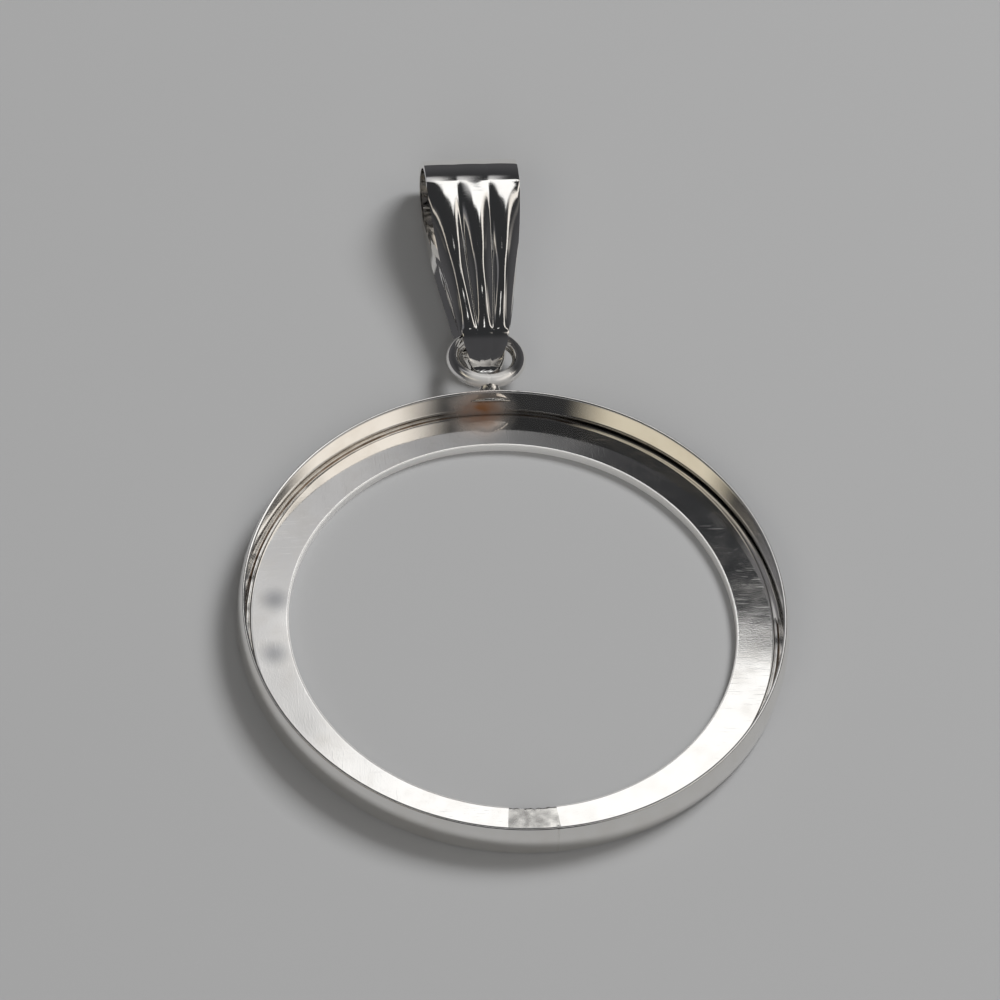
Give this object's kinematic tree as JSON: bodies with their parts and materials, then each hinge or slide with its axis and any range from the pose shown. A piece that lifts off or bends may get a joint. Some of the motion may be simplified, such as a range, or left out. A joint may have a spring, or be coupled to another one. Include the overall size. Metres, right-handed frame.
{
  "type": "coin bezel pendant mount",
  "caption": "Open-back round bezel pendant mount for a coin, with a seat ring, jump ring and folded fluted bail.",
  "frame": {"origin": "centre of the ring on the plane that its open back rests on", "axes": "+Z along the ring's axis, out of the open front of the coin pocket; +Y from the ring's centre to the bail"},
  "size_m": [0.0262, 0.0395, 0.0034],
  "materials": {
    "silver": "polished silver with fine handling scratches",
    "solder": "silver solder, rubbed down but less bright than the sheet"
  },
  "bodies": {
    "bezel": {"bezel_wall": "silver", "wall_seam_solder": "solder", "seat_ring": "silver", "seat_joint_patch": "solder", "seat_solder": "solder", "jump_ring": "silver", "ring_solder": "solder"},
    "bail": {"bail": "silver", "bail_solder": "solder"}
  },
  "joints": [
    {"name": "bail_swing", "type": "hinge", "parent": "bezel", "child": "bail", "pos_m": [0, 0.01669, 0.00094], "axis": [1, 0, 0], "range_deg": [-15, 40]}
  ]
}
